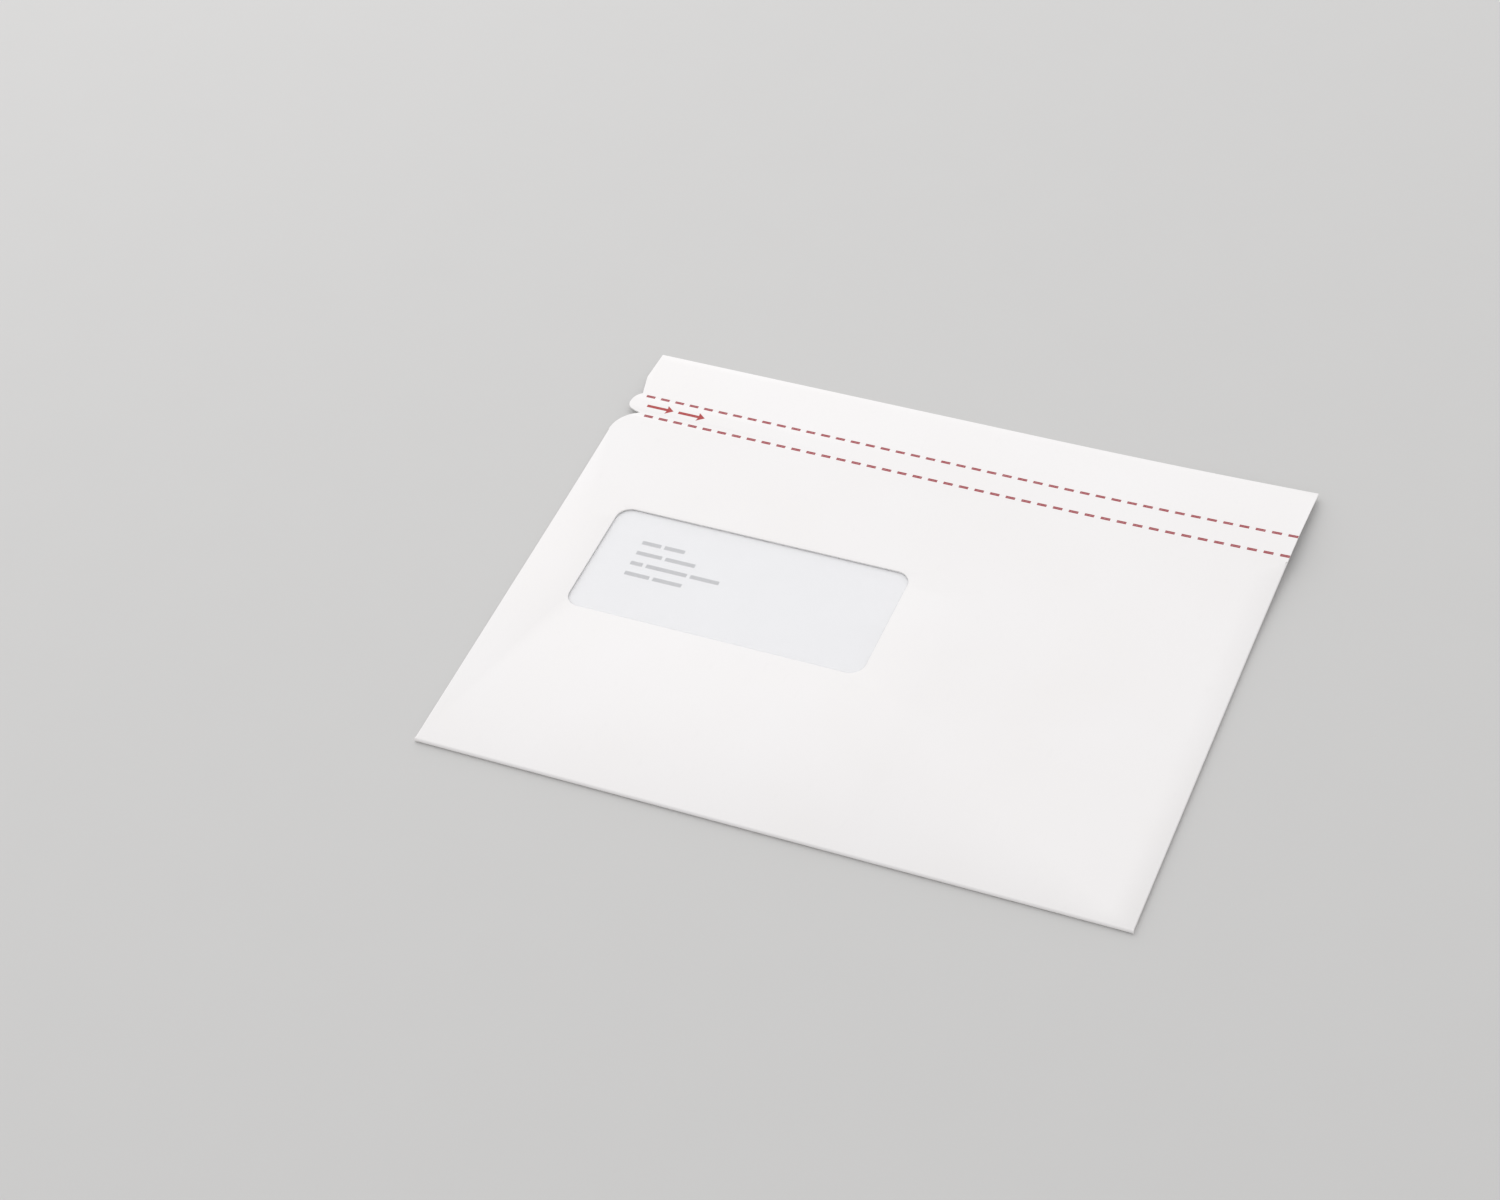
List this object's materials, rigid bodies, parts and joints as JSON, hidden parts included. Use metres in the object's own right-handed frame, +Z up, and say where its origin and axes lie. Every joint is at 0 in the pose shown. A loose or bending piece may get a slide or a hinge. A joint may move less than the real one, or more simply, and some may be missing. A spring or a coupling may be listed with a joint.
{
  "type": "window envelope",
  "caption": "Flat white board mailing envelope with an address window, a perforated tear strip with a pull tab, and an open closing flap.",
  "frame": {"origin": "centre of the footprint, on the surface that the envelope lies on", "axes": "+X along the long side, +Y towards the tear strip and the closing flap, +Z up out of the window face"},
  "size_m": [0.2302, 0.184, 0.0038],
  "materials": {
    "board": "smooth white coated board, matt",
    "film": "thin clear film, slightly wavy",
    "letter": "uncoated white letter paper with pale grey line blocks",
    "adhesive": "self-seal adhesive, pale amber",
    "liner": "smooth release paper, pale yellow"
  },
  "bodies": {
    "root": {"envelope_board": "board", "window_film": "film", "letter_sheet": "letter", "flap_adhesive": "adhesive", "release_liner": "liner"}
  },
  "joints": []
}
